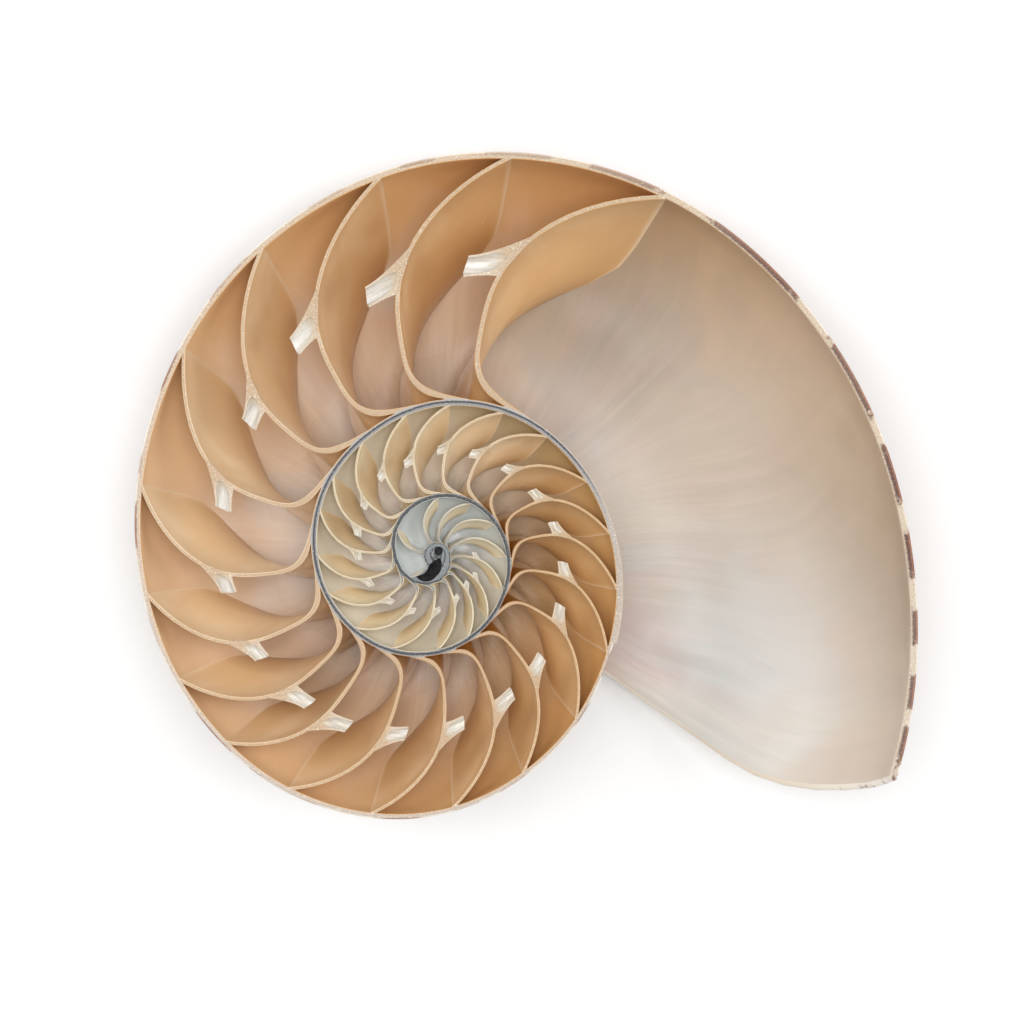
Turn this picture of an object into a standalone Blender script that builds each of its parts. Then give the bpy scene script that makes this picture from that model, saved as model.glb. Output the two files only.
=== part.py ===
"""Half of a nautilus shell, sawn through along the plane that its spiral lies in.

The whole shell grew as one piece, so it is one solid: the coiled outer wall,
the curved septa that part its chambers, and the short neck on each septum.
Sizes are in millimetres and angles in degrees until a point is placed. The
growth angle is zero at the right of the saw cut and rises towards older shell,
one whorl for every 360 degrees. The section angle is zero in the saw cut and
90 degrees on the coiling axis.
"""
import math
from bisect import bisect_right

import bmesh
import bpy
from mathutils import Matrix, Vector

MM = 0.001
COLLECTION_NAME = "nautilus shell half"
CUTTER_COLLECTION_NAME = "cutters"
SHELL_NAME = "shell_half"

# Outer radius of the coil in the saw cut, every 30 degrees of growth angle,
# from just outside the mouth in to the first whorl
WALL_RADII = (
    106.3, 99.1, 91.3, 86.3, 82.5, 76.8, 68.9, 61.8, 57.7, 55.4, 53.6, 49.9,
    43.9, 38.3, 34.7, 32.5, 31.2, 29.4, 26.9, 25.2, 23.5, 22.0, 20.5, 18.6,
    16.5, 14.8, 13.8, 13.0, 12.4, 11.6, 10.6, 9.4, 8.1, 7.2, 6.0, 4.7,
    3.5, 2.6, 2.2,
)
RADII_START = -60.0
RADII_STEP = 30.0
WHORL = 360.0

# Outline of the coil across the saw cut: section angle, share of the radius
SECTION_OUTLINE = (
    (0.0, 1.0), (6.0, 0.990), (11.0, 0.947), (16.4, 0.886), (25.2, 0.774),
    (37.6, 0.631), (48.5, 0.528), (62.2, 0.429), (73.6, 0.354), (80.8, 0.314),
    (90.0, 0.300),
)
NAVEL_DEPTH = 20.0
NAVEL_START = 67.0

# Mouth: growth angle of its lip in the saw cut, and how far it runs on beside it
LIP_ANGLE = -26.0
LIP_REACH = 9.0
LIP_TURN = 25.0
MOUTH_PASS = 8.0

# Wall left between the outline and a chamber, and the lining laid on the whorl inside
WALL_BASE = 0.35
WALL_SHARE = 0.0125
FLANK_THINNING = 0.3
FLANK_SECTION = 40.0
LINING_BASE = 0.30
LINING_SHARE = 0.009

# Septa from the mouth inwards: growth angle at the outer wall, backward bow
SEPTA = (
    (58, 21), (80, 19.5), (99, 20.5), (120, 20), (141, 21), (167, 19),
    (188, 18), (206, 17), (222, 14), (238, 16.5), (256, 17), (274, 17.5),
    (292, 17.5), (311, 20.5), (331, 20.5), (350, 21), (368, 21), (387, 21.5),
    (408, 19.5), (426, 20), (446, 18.5), (463, 20.5), (484, 19), (503, 17),
    (519, 18), (540, 18.5), (560, 20), (582, 20.5), (605, 22), (631, 20.5),
    (652, 20), (669, 23), (693, 26), (720, 31), (750, 30), (778, 28),
    (810, 26), (867, 18), (940, 8),
)
SEPTUM_BASE = 0.25
SEPTUM_SHARE = 0.0075
SEPTUM_TURN_LIMIT = 4.5
SLANT_LIMIT = 2.0
SLANT_STEP = 0.01
BOW_CREST = 0.38
BOW_OUTER_POWER = 2.9
BOW_INNER_POWER = 3.0

# Away from the saw cut a septum's bow fades, its edge on the outer wall swings
# back and then returns a little, and its edge on the inner wall swings back
BOW_LEFT = 0.25
BOW_FADED = 45.0
OUTER_SWING = 1.09
OUTER_SWING_START = 16.0
OUTER_SWING_RUN = 23.0
OUTER_RETURN = 0.3
OUTER_RETURN_START = 40.0
OUTER_RETURN_RUN = 22.0
INNER_SWING = 0.9

# Necks: a short tube on the back of each septum, for the cord that joined the chambers
# Roots as places across the septum, lengths as shares of the coil's radius there
NECK_COUNT = 33
NECK_ROOTS = (
    0.68, 0.66, 0.67, 0.63, 0.64, 0.65, 0.64, 0.63, 0.64, 0.62, 0.62,
    0.63, 0.63, 0.62, 0.62, 0.62, 0.61, 0.60, 0.60, 0.62, 0.59, 0.64,
    0.60, 0.59, 0.60, 0.58, 0.55, 0.56, 0.59, 0.58, 0.59, 0.67, 0.65,
)
NECK_LENGTHS = (
    0.104, 0.100, 0.093, 0.084, 0.095, 0.075, 0.076, 0.097, 0.100, 0.086, 0.092,
    0.109, 0.102, 0.103, 0.090, 0.086, 0.089, 0.075, 0.071, 0.066, 0.075, 0.068,
    0.063, 0.081, 0.084, 0.084, 0.080, 0.074, 0.084, 0.081, 0.091, 0.078, 0.090,
)
NECK_LEAN = -0.02
NECK_RADIUS_SHARE = 0.0235
NECK_RADIUS_BASE = 0.15
NECK_FORM = ((0.0, 1.35), (1.0, 1.0))
NECK_BORE = ((-0.45, 1.7), (0.3, 0.76), (1.2, 0.76))
NECK_SIDES = 6

# The oldest chamber is open as a curved pocket, and the cord's own hole is beside it
POCKET_SIDES = (
    ((-3.2, -4.6), (-2.4, -4.8), (-1.3, -4.7), (-0.4, -4.1), (0.5, -3.1), (0.9, -1.9), (0.8, -0.9)),
    ((0.4, -0.4),),
    ((-3.9, -4.0), (-2.6, -3.5), (-2.1, -3.0), (-1.8, -2.6), (-1.4, -1.7), (-0.9, -1.2), (-0.5, -0.9)),
)
CORD_HOLE = (0.29, 0.96)
CORD_HOLE_RADIUS = 0.75
CORD_HOLE_DEPTH = 0.6

# How finely the faceted solid is cut
OUTSIDE_COLUMNS = 48
OUTSIDE_SECTIONS = (0, 7, 14, 21, 28, 36, 46, 57, 69, 81)
CHAMBER_SECTIONS = (0, 16, 32, 49, 66)
CHAMBER_SHARES = (0.0, 0.04, 0.16, 0.38, 0.62, 0.83, 1.0)
POCKET_SECTIONS = (0, 20, 40)
BODY_STEPS = 10

# Height left above the saw cut until the sawing, and how high the cutters stand
SAW_ALLOWANCE = 3.0
CUTTER_HEIGHT = 6.0
SAW_TOLERANCE = 0.0002

# At rest the half shell lies on its flank: the turn about a level line that
# settles it there, and the coil's centre above the middle of its footprint
LEAN_LINE = 207.1
LEAN = 9.22
COIL_CENTRE = (-17.05, -13.43, 35.04)

NACRE_COLOUR = (0.62, 0.42, 0.25, 1.0)
NACRE_ROUGHNESS = 0.32
SHARP_ANGLE = 40.0


def smooth(value):
    """Ease from 0 to 1."""
    value = max(0.0, min(1.0, value))
    return value * value * (3.0 - 2.0 * value)


def coil_radius(growth):
    """Outer radius of the coil in the saw cut."""
    last = len(WALL_RADII) - 1
    place = max(0.0, min(last - 0.001, (growth - RADII_START) / RADII_STEP))
    index = int(place)
    part = place - index
    before, start, end, after = (
        math.log(WALL_RADII[max(0, min(last, index + step))]) for step in (-1, 0, 1, 2)
    )
    bend = 2.0 * before - 5.0 * start + 4.0 * end - after
    turn = 3.0 * start - before - 3.0 * end + after
    return math.exp(start + 0.5 * ((end - before) * part + bend * part ** 2 + turn * part ** 3))


def outline_slope(index):
    """Slope of the section outline at one of its points."""
    last = len(SECTION_OUTLINE) - 1
    if index == 0:
        return 0.0
    low = SECTION_OUTLINE[index - 1]
    high = SECTION_OUTLINE[min(last, index + 1)]
    return (high[1] - low[1]) / (high[0] - low[0])


def outline_share(section):
    """Share of the coil's radius that the outline has at a section angle."""
    angles = [point[0] for point in SECTION_OUTLINE]
    index = max(0, min(len(angles) - 2, bisect_right(angles, section) - 1))
    width = angles[index + 1] - angles[index]
    part = (section - angles[index]) / width
    start = SECTION_OUTLINE[index][1]
    end = SECTION_OUTLINE[index + 1][1]
    rise = end - start
    near = width * outline_slope(index)
    far = width * outline_slope(index + 1)
    bend = 3.0 * rise - 2.0 * near - far
    turn = near + far - 2.0 * rise
    return start + near * part + bend * part ** 2 + turn * part ** 3


def outline_spread(section):
    """How much longer a cut along the ray is than one square to the wall."""
    low = max(0.0, section - 1.0)
    high = section + 1.0
    change = (outline_share(high) - outline_share(low)) / math.radians(high - low)
    return math.hypot(1.0, change / outline_share(section))


def flank_thinning(section):
    """The shell is thickest in the saw cut and thinner on its flank."""
    return 1.0 - FLANK_THINNING * smooth(section / FLANK_SECTION)


def wall_thickness(growth, section):
    return flank_thinning(section) * (WALL_BASE + WALL_SHARE * coil_radius(growth))


def lining_thickness(growth):
    return LINING_BASE + LINING_SHARE * coil_radius(growth + WHORL)


def lip_angle(section):
    """Growth angle of the mouth's lip."""
    return LIP_ANGLE - LIP_REACH * smooth(section / LIP_TURN)


def cone_point(growth, section, radius):
    """Point at a growth angle and section angle, below the saw cut."""
    across = radius * math.cos(math.radians(section))
    turn = math.radians(growth)
    depth = radius * math.sin(math.radians(section))
    return Vector((across * math.cos(turn), across * math.sin(turn), -depth))


def outside_point(growth, section):
    """Point on the outside of the coil, drawn in to one depth at the axis."""
    point = cone_point(growth, section, coil_radius(growth) * outline_share(section))
    pull = smooth((section - NAVEL_START) / (90.0 - NAVEL_START))
    point.z += pull * (-NAVEL_DEPTH - point.z)
    return point


def chamber_radius(growth, section, share):
    """Distance from the coil's centre, from the inner wall (0) to the outer (1)."""
    spread = outline_spread(section)
    whorl_inside = coil_radius(growth + WHORL) * outline_share(section)
    whorl_outside = coil_radius(growth) * outline_share(section)
    inner = whorl_inside + lining_thickness(growth) * spread
    outer = whorl_outside - wall_thickness(growth, section) * spread
    return inner ** (1.0 - share) * outer ** share


def septum_bow(share, section):
    """Backward bow of a septum, as a share of its full bow."""
    if share >= BOW_CREST:
        across = 1.0 - ((share - BOW_CREST) / (1.0 - BOW_CREST)) ** BOW_OUTER_POWER
    else:
        across = math.sqrt(1.0 - ((BOW_CREST - share) / BOW_CREST) ** BOW_INNER_POWER)
    fade = BOW_LEFT + (1.0 - BOW_LEFT) * math.cos(math.pi / 2.0 * min(section / BOW_FADED, 1.0)) ** 2
    swing = OUTER_SWING * smooth((section - OUTER_SWING_START) / OUTER_SWING_RUN)
    swing -= OUTER_RETURN * max(0.0, (section - OUTER_RETURN_START) / OUTER_RETURN_RUN) ** 2
    inner_swing = INNER_SWING * smooth(section / BOW_FADED)
    return across * fade + share * swing + (1.0 - share) * inner_swing


def septum_growth(index, share, section, side):
    """Growth angle of a septum: side -1 is its front, 0 its middle, 1 its back."""
    angle, bow = SEPTA[index]
    thickness = flank_thinning(section) * (SEPTUM_BASE + SEPTUM_SHARE * coil_radius(angle))
    gap = chamber_radius(angle, section, 1.0) - chamber_radius(angle, section, 0.0)
    foot = 0.5 * thickness / gap * max(0.0, 1.0 - share / BOW_CREST)
    place = max(0.0, min(1.0, share + side * foot))
    growth = angle + bow * septum_bow(place, section)
    low = max(0.0, place - SLANT_STEP)
    high = min(1.0, place + SLANT_STEP)
    turned = math.radians(bow * (septum_bow(high, section) - septum_bow(low, section)))
    radius = chamber_radius(growth, section, place)
    climbed = chamber_radius(growth, section, high) - chamber_radius(growth, section, low)
    slant = min(SLANT_LIMIT, math.hypot(1.0, turned * radius / climbed))
    across = radius * math.cos(math.radians(section))
    turn = math.degrees(0.5 * thickness * slant / across)
    return growth + side * min(turn, SEPTUM_TURN_LIMIT)


def chamber_point(growth, section, share):
    return cone_point(growth, section, chamber_radius(growth, section, share))


def chamber_ring(young, section):
    """Sides of the chamber behind a septum, at one section angle."""
    old = young + 1
    back = []
    front = []
    for share in CHAMBER_SHARES:
        back.append(chamber_point(septum_growth(young, share, section, 1), section, share))
        front.append(chamber_point(septum_growth(old, share, section, -1), section, share))
    start = septum_growth(young, 1.0, section, 1)
    end = septum_growth(old, 1.0, section, -1)
    return back, [chamber_point(0.5 * (start + end), section, 1.0)], front


def body_ring(section):
    """Sides of the open living chamber, from past the lip to the last septum."""
    mouth = lip_angle(section) - MOUTH_PASS
    sides = []
    for share in (1.0, 0.0):
        last = septum_growth(0, share, section, -1)
        side = []
        for step in range(BODY_STEPS + 1):
            growth = mouth + (last - mouth) * step / BODY_STEPS
            side.append(chamber_point(growth, section, share))
        sides.append(side)
    septum = []
    for share in reversed(CHAMBER_SHARES[1:-1]):
        septum.append(chamber_point(septum_growth(0, share, section, -1), section, share))
    return sides[0], septum, sides[1]


def pocket_ring(section):
    """Sides of the pocket at the centre, which narrows as the chambers do."""
    sides = []
    for side in POCKET_SIDES:
        points = []
        for x, y in side:
            growth = math.degrees(math.atan2(y, x))
            points.append(cone_point(growth, section, math.hypot(x, y) * outline_share(section)))
        sides.append(points)
    return tuple(sides)


def round_points(ring):
    """Points of a ring in order: up one side, over, and down the other side."""
    side, over, other = ring
    return side + over + other[::-1]


def add_tube(shape, rings):
    """Closed skin through rings of points, the first and last ring capped."""
    loops = [[shape.verts.new(point) for point in round_points(ring)] for ring in rings]
    count = len(loops[0])
    for upper, lower in zip(loops, loops[1:]):
        for index in range(count):
            after = (index + 1) % count
            shape.faces.new((upper[index], upper[after], lower[after], lower[index]))
    for loop in (loops[0], loops[-1]):
        add_cap(shape, loop, len(rings[0][0]), len(rings[0][1]))


def add_cap(shape, loop, length, over):
    """Close a ring with a ladder of faces between its two sides."""
    side = loop[:length]
    other = loop[length + over:2 * length + over][::-1]
    for index in range(length - 1):
        shape.faces.new((side[index], side[index + 1], other[index + 1], other[index]))
    if over:
        shape.faces.new([side[-1]] + loop[length:length + over] + [other[-1]])


def lifted(ring, height):
    """The ring moved straight up or down."""
    up = Vector((0.0, 0.0, height))
    return tuple([point + up for point in side] for side in ring)


def finish_mesh(shape, name, collection, material):
    """Turn the faces outwards and put the mesh on an object."""
    bmesh.ops.triangulate(shape, faces=shape.faces)
    bmesh.ops.recalc_face_normals(shape, faces=shape.faces)
    mesh = bpy.data.meshes.new(name)
    shape.to_mesh(mesh)
    shape.free()
    mesh.materials.append(material)
    solid = bpy.data.objects.new(name, mesh)
    collection.objects.link(solid)
    return solid


def add_outside(collection, material):
    """Solid inside the coil's outer surface, with the mouth as a flat step."""
    shape = bmesh.new()
    rows = []
    for section in OUTSIDE_SECTIONS:
        lip = lip_angle(section)
        row = []
        for column in range(OUTSIDE_COLUMNS + 1):
            growth = lip + WHORL * column / OUTSIDE_COLUMNS
            row.append(shape.verts.new(outside_point(growth, section)))
        rows.append(row)
    top = [shape.verts.new(vert.co + Vector((0.0, 0.0, SAW_ALLOWANCE))) for vert in rows[0]]
    rows.insert(0, top)
    for upper, lower in zip(rows, rows[1:]):
        count = len(upper)
        for index in range(count):
            after = (index + 1) % count
            shape.faces.new((upper[index], upper[after], lower[after], lower[index]))
    navel = shape.verts.new(Vector((0.0, 0.0, -NAVEL_DEPTH)))
    for index, vert in enumerate(rows[-1]):
        after = rows[-1][(index + 1) % len(rows[-1])]
        shape.faces.new((vert, after, navel))
    shape.faces.new(tuple(reversed(top)))
    return finish_mesh(shape, SHELL_NAME, collection, material)


def add_hollows(collection, material):
    """Living chamber, closed chambers and centre pocket as one set of cutters."""
    shape = bmesh.new()
    rings = [body_ring(section) for section in CHAMBER_SECTIONS]
    add_tube(shape, [lifted(rings[0], CUTTER_HEIGHT)] + rings)
    for young in range(len(SEPTA) - 1):
        rings = [chamber_ring(young, section) for section in CHAMBER_SECTIONS]
        add_tube(shape, [lifted(rings[0], CUTTER_HEIGHT)] + rings)
    rings = [pocket_ring(section) for section in POCKET_SECTIONS]
    add_tube(shape, [lifted(rings[0], CUTTER_HEIGHT)] + rings)
    return finish_mesh(shape, "hollows", collection, material)


def neck_line(index):
    """Root, direction and reach of the neck on one septum."""
    share = NECK_ROOTS[index]
    root_growth = septum_growth(index, share, 0.0, 0)
    root = chamber_point(root_growth, 0.0, share)
    length = NECK_LENGTHS[index] * coil_radius(root_growth)
    turn = math.degrees(length / root.length)
    tip = chamber_point(root_growth + turn, 0.0, share + NECK_LEAN)
    return root, (tip - root).normalized(), length


def neck_rings(index, widths):
    """Rings round a neck's line: (place along it, share of its radius)."""
    root, along, length = neck_line(index)
    side = along.cross(Vector((0.0, 0.0, 1.0))).normalized()
    radius = NECK_RADIUS_SHARE * coil_radius(SEPTA[index][0]) + NECK_RADIUS_BASE
    rings = []
    for place, width in widths:
        ring = []
        for step in range(NECK_SIDES):
            turn = 2.0 * math.pi * (step + 0.5) / NECK_SIDES
            across = side * math.cos(turn) + Vector((0.0, 0.0, 1.0)) * math.sin(turn)
            ring.append(root + along * place * length + across * radius * width)
        half = NECK_SIDES // 2
        rings.append((ring[:half], [], ring[:half - 1:-1]))
    return rings


def add_necks(collection, material):
    """Outer form of every neck, flared where it leaves its septum."""
    shape = bmesh.new()
    for index in range(NECK_COUNT):
        add_tube(shape, neck_rings(index, NECK_FORM))
    return finish_mesh(shape, "necks", collection, material)


def add_neck_bores(collection, material):
    """Bore of every neck, open through its septum."""
    shape = bmesh.new()
    for index in range(NECK_COUNT):
        add_tube(shape, neck_rings(index, NECK_BORE))
    hole = bmesh.ops.create_cone(
        shape,
        cap_ends=True,
        segments=NECK_SIDES,
        radius1=CORD_HOLE_RADIUS,
        radius2=CORD_HOLE_RADIUS,
        depth=2.0 * CORD_HOLE_DEPTH,
    )
    bmesh.ops.translate(shape, verts=hole["verts"], vec=(*CORD_HOLE, 0.0))
    return finish_mesh(shape, "neck bores", collection, material)


def combine(solid, other, operation):
    """Join or cut one solid with another, and keep the result as its mesh."""
    change = solid.modifiers.new(other.name, "BOOLEAN")
    change.operation = operation
    change.solver = "EXACT"
    change.object = other
    bpy.context.view_layer.update()
    graph = bpy.context.evaluated_depsgraph_get()
    mesh = bpy.data.meshes.new_from_object(solid.evaluated_get(graph))
    solid.modifiers.remove(change)
    solid.data = mesh


def saw_in_half(solid):
    """Take away everything above the saw cut and close the cut face."""
    shape = bmesh.new()
    shape.from_mesh(solid.data)
    everything = shape.verts[:] + shape.edges[:] + shape.faces[:]
    bmesh.ops.bisect_plane(
        shape,
        geom=everything,
        dist=SAW_TOLERANCE,
        plane_co=(0, 0, 0),
        plane_no=(0, 0, 1),
        clear_outer=True,
    )
    rim = [edge for edge in shape.edges if edge.is_boundary]
    bmesh.ops.triangle_fill(shape, use_beauty=True, edges=rim, normal=(0, 0, 1))
    bmesh.ops.recalc_face_normals(shape, faces=shape.faces)
    shape.to_mesh(solid.data)
    shape.free()


def resting_place():
    """Where the finished half lies: leaning on its flank, in metres."""
    line = (math.cos(math.radians(LEAN_LINE)), math.sin(math.radians(LEAN_LINE)), 0.0)
    lean = Matrix.Rotation(math.radians(LEAN), 4, line)
    return Matrix.Translation(Vector(COIL_CENTRE) * MM) @ lean @ Matrix.Scale(MM, 4)


def main():
    for old in list(bpy.data.objects):
        bpy.data.objects.remove(old, do_unlink=True)
    parts = bpy.data.collections.new(COLLECTION_NAME)
    cutters = bpy.data.collections.new(CUTTER_COLLECTION_NAME)
    bpy.context.scene.collection.children.link(parts)
    bpy.context.scene.collection.children.link(cutters)

    nacre = bpy.data.materials.new("nacre")
    nacre.use_nodes = True
    finish = nacre.node_tree.nodes["Principled BSDF"]
    finish.inputs["Base Color"].default_value = NACRE_COLOUR
    finish.inputs["Roughness"].default_value = NACRE_ROUGHNESS
    finish.inputs["Metallic"].default_value = 0.0

    shell = add_outside(parts, nacre)
    hollows = add_hollows(cutters, nacre)
    necks = add_necks(cutters, nacre)
    bores = add_neck_bores(cutters, nacre)
    for cutter in (hollows, necks, bores):
        cutter.hide_render = True
        cutter.display_type = "WIRE"

    combine(shell, hollows, "DIFFERENCE")
    combine(shell, necks, "UNION")
    combine(shell, bores, "DIFFERENCE")
    saw_in_half(shell)

    shell.data.transform(resting_place())
    shell.data.shade_smooth()
    shell.data.set_sharp_from_angle(angle=math.radians(SHARP_ANGLE))


main()
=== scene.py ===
"""Looks of the nautilus shell half.

The shell is one fine mesh, made of grids bent onto the coil and stitched
together: the outside, the living chamber, the closed chambers with their septa,
and the necks. Shapes are worked out in millimetres on the coil, with the saw cut
level at height zero, and laid in their resting place at the end. The growth angle
rises towards older shell, the section angle is zero in the saw cut and 90 degrees
on the coiling axis, and a share runs from the inner wall (0) to the outer (1).
"""

import math

import bpy
import numpy as np
from mathutils import Matrix, Vector


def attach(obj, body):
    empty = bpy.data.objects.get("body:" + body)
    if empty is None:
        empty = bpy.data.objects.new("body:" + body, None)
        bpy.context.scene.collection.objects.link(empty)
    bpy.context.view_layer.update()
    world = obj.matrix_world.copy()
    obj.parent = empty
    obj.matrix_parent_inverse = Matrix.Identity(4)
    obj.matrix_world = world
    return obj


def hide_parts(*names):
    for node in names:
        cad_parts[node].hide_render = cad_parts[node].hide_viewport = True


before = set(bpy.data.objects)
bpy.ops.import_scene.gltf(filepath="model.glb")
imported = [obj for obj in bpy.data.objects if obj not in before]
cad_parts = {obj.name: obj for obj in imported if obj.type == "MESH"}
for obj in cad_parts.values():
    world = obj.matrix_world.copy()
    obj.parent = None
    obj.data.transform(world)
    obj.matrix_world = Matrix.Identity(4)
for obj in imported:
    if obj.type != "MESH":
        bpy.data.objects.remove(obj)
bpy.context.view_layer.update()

MM = 0.001

# The coil, as in the solid: outer radius in the saw cut every 30 degrees of growth
WALL_RADII = (
    106.3, 99.1, 91.3, 86.3, 82.5, 76.8, 68.9, 61.8, 57.7, 55.4, 53.6, 49.9,
    43.9, 38.3, 34.7, 32.5, 31.2, 29.4, 26.9, 25.2, 23.5, 22.0, 20.5, 18.6,
    16.5, 14.8, 13.8, 13.0, 12.4, 11.6, 10.6, 9.4, 8.1, 7.2, 6.0, 4.7,
    3.5, 2.6, 2.2,
)
RADII_START = -60.0
RADII_STEP = 30.0
WHORL = 360.0

# Outline of the coil across the saw cut: section angle, share of the radius
SECTION_OUTLINE = (
    (0.0, 1.0), (6.0, 0.990), (11.0, 0.947), (16.4, 0.886), (25.2, 0.774),
    (37.6, 0.631), (48.5, 0.528), (62.2, 0.429), (73.6, 0.354), (80.8, 0.314),
    (90.0, 0.300),
)
SPREAD_STEP = 1.0
NAVEL_DEPTH = 20.0
NAVEL_START = 67.0

# Mouth: growth angle of its lip in the saw cut, and how far it runs on beside it
LIP_ANGLE = -26.0
LIP_REACH = 9.0
LIP_TURN = 25.0
LIP_ZONE = 3.0

# Wall outside a chamber, and the lining laid on the whorl inside
WALL_BASE = 0.35
WALL_SHARE = 0.0125
FLANK_THINNING = 0.3
FLANK_SECTION = 40.0
LINING_BASE = 0.30
LINING_SHARE = 0.009

# Septa from the mouth inwards: growth angle at the outer wall, backward bow
SEPTA = (
    (58, 21), (80, 19.5), (99, 20.5), (120, 20), (141, 21), (167, 19),
    (188, 18), (206, 17), (222, 14), (238, 16.5), (256, 17), (274, 17.5),
    (292, 17.5), (311, 20.5), (331, 20.5), (350, 21), (368, 21), (387, 21.5),
    (408, 19.5), (426, 20), (446, 18.5), (463, 20.5), (484, 19), (503, 17),
    (519, 18), (540, 18.5), (560, 20), (582, 20.5), (605, 22), (631, 20.5),
    (652, 20), (669, 23), (693, 26), (720, 31), (750, 30), (778, 28),
    (810, 26), (867, 18), (940, 8),
)
SEPTUM_BASE = 0.25
SEPTUM_SHARE = 0.0075
SEPTUM_TURN_LIMIT = 4.5
SLANT_LIMIT = 2.0
SLANT_STEP = 0.01
BOW_CREST = 0.38
BOW_OUTER_POWER = 2.9
BOW_INNER_POWER = 3.0

# Away from the saw cut a septum's bow fades, its edge on the outer wall swings
# back and then returns a little, and its edge on the inner wall swings back
BOW_LEFT = 0.25
BOW_FADED = 45.0
OUTER_SWING = 1.09
OUTER_SWING_START = 16.0
OUTER_SWING_RUN = 23.0
OUTER_RETURN = 0.3
OUTER_RETURN_START = 40.0
OUTER_RETURN_RUN = 22.0
INNER_SWING = 0.9
FRONT, MIDDLE, BACK = -1, 0, 1

# Necks: place of the root on its septum, length and radius of the tube
NECK_COUNT = 33
NECK_ROOTS = (
    0.68, 0.66, 0.67, 0.63, 0.64, 0.65, 0.64, 0.63, 0.64, 0.62, 0.62,
    0.63, 0.63, 0.62, 0.62, 0.62, 0.61, 0.60, 0.60, 0.62, 0.59, 0.64,
    0.60, 0.59, 0.60, 0.58, 0.55, 0.56, 0.59, 0.58, 0.59, 0.67, 0.65,
)
NECK_LENGTHS = (
    0.104, 0.100, 0.093, 0.084, 0.095, 0.075, 0.076, 0.097, 0.100, 0.086, 0.092,
    0.109, 0.102, 0.103, 0.090, 0.086, 0.089, 0.075, 0.071, 0.066, 0.075, 0.068,
    0.063, 0.081, 0.084, 0.084, 0.080, 0.074, 0.084, 0.081, 0.091, 0.078, 0.090,
)
NECK_RADIUS_SHARE = 0.0235
NECK_RADIUS_BASE = 0.08
NECK_WALL_BASE = 0.12
NECK_WALL_SHARE = 0.0035
NECK_SIDES = 20
NECK_STEPS = 12
NECK_LEAN = -0.02
NECK_SLANT = 0.45
NECK_CORNER = 1.1
NECK_CORNER_START = 0.55
FLARE_POWER = 2.6
NECK_FLARE = (1.5, 3.1)
BORE_FLARE = (0.6, 2.5)
NECK_RUN = (0.0, 1.0)
BORE_RUN = (0.11, 1.1)
BORE_CLOSING = 0.3

# Zone along a neck and round it that has the neck's finish
NECK_ZONE = (-0.1, 1.2)
NECK_ZONE_WIDTH = 1.5
NECK_ZONE_RISE = 2.0

# The oldest chamber is open as a curved pocket, and the cord's own hole is beside it
POCKET_SIDES = (
    (
        (-3.2, -4.6), (-2.4, -4.8), (-1.3, -4.7), (-0.4, -4.1), (0.5, -3.1), (0.9, -1.9),
        (0.8, -0.9), (0.5, -0.4),
    ),
    (
        (-3.9, -4.0), (-2.6, -3.5), (-2.1, -3.0), (-1.8, -2.6), (-1.4, -1.7), (-0.9, -1.2),
        (-0.5, -0.9), (0.2, -0.5),
    ),
)
POCKET_SECTIONS = (8, 16, 24, 32, 40)
CORD_HOLE = (0.29, 0.96)
CORD_HOLE_RADIUS = 0.75
CORD_HOLE_DEPTH = 0.6
CORD_HOLE_ROUNDING = 0.075
CORD_HOLE_FORM = ((0.5, 0.95), (1.0, 0.8), (1.0, 0.0))

# How finely the grids are cut, and the rounding of the sawn edges
ROW_SECTIONS = (2, 4.5, 7.5, 11, 14.5, 18, 21.5, 25, 28.5, 31, 33.5, 36, 38.5, 41, 45, 50, 56, 61, 66)
NAVEL_SECTIONS = (69, 72, 75, 78, 81, 84, 87, 90)
LARGE_CHAMBERS = 17
LARGE_GRID = (26, 8)
SMALL_GRID = (16, 4)
EVEN_SPACING = 0.45
LIVING_COLUMNS = 64
OUTSIDE_COLUMNS = 240
LIP_COLUMNS = 6
LIP_BULGE = 0.8
SHARP_ANGLE = math.radians(35.0)
ON_WHORL = 1.003
SMALLEST = 0.1
ROUNDING_SHARE = 0.02
ROUNDING_LIMIT = 0.12
RIM_ROUNDING = 0.25
ROUNDING_STEPS = ((0.0, 1.0), (-0.4, 0.35), (-1.0, 0.0))
SAW_ALLOWANCE = 1.0
WELD = 0.0005
FINE = 0.0002

# The fine surface bulges past the flat faces of the solid, so it is drawn in a little
DRAW_IN = (0.9974, 0.9950, 0.992)

# Resting place, as in the solid
LEAN_LINE = 207.1
LEAN = 9.22
COIL_CENTRE = (-17.05, -13.43, 35.04)

# Rusty stripes of the outside: growth angles of both ends, strength on the rim
STRIPES = (
    (-66, -60, 1.0), (-24, -20, 0.9), (-18.5, -13.6, 0.9), (-10.6, -6.3, 0.9), (-2.8, 3.4, 1.0),
    (6.4, 14, 1.0), (17.6, 29, 0.9), (35.4, 51, 0.95), (58.5, 69, 0.6), (74, 83, 0.3),
    (91, 95, 0.45), (105, 110, 0.25), (123, 131, 0.4), (142, 148.5, 0.9), (161, 164, 0.4),
    (170, 178, 0.9), (192, 198, 0.3), (213, 224, 0.9), (228, 244, 0.3), (258, 266, 0.8),
    (274, 280, 0.35), (285, 292, 0.45), (310, 316, 0.7), (324, 331, 0.6), (341, 348, 0.6),
    (355, 363, 0.6),
)

# Share of the radius between one whorl and the next, for depths on the cut face
WHORL_CLOSING = 1.05

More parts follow.
